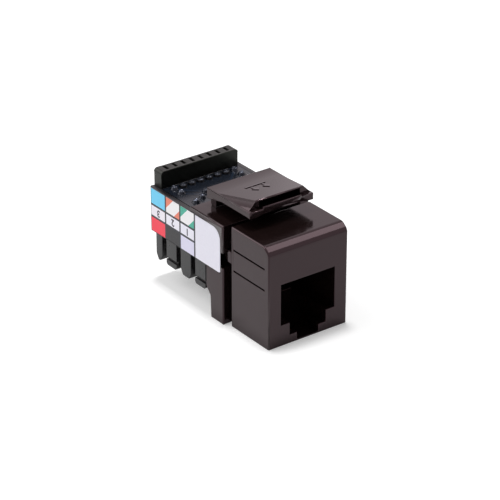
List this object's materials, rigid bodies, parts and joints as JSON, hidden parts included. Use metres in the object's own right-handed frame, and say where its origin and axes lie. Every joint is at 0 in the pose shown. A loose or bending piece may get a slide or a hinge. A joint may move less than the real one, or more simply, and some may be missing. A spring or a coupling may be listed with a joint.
{
  "type": "keystone jack",
  "caption": "Snap-in keystone jack with a modular port at the front, a flexing latch on top and an insulation-displacement block with wire legs below its rear.",
  "frame": {"origin": "middle of the bounding box in X and Y, at the underside of the housing", "axes": "+X to the right seen from the plug side, +Y from the plug opening to the wire end, +Z towards the latch"},
  "size_m": [0.016, 0.0292, 0.0208],
  "materials": {
    "housing_plastic": "fine moulded texture",
    "block_plastic": "fine moulded texture",
    "board_laminate": "solder mask",
    "carrier_plastic": "moulded",
    "label_paper": "printed film",
    "solder": "black lacquer over solder",
    "gold_wire": "gold plated",
    "tinned_clip": "tin plated"
  },
  "bodies": {
    "jack": {"front_housing": "housing_plastic", "rear_collar": "housing_plastic", "idc_block": "block_plastic", "rear_bar": "block_plastic", "circuit_board": "board_laminate", "contact_carrier": "carrier_plastic", "side_label": "label_paper", "solder_joints": "solder", "contact_wire_1": "gold_wire", "contact_wire_2": "gold_wire", "contact_wire_3": "gold_wire", "contact_wire_4": "gold_wire", "contact_wire_5": "gold_wire", "contact_wire_6": "gold_wire", "idc_clip_left_1": "tinned_clip", "idc_clip_left_2": "tinned_clip", "idc_clip_left_3": "tinned_clip", "idc_clip_right_1": "tinned_clip", "idc_clip_right_2": "tinned_clip", "idc_clip_right_3": "tinned_clip"},
    "latch": {"snap_latch": "housing_plastic"}
  },
  "joints": [
    {"name": "latch_flex", "type": "hinge", "parent": "jack", "child": "latch", "pos_m": [0, 0.00195, 0.0169], "axis": [1, 0, 0], "range_deg": [0, 8.5], "stiffness_Nm_per_rad": 0.15}
  ]
}
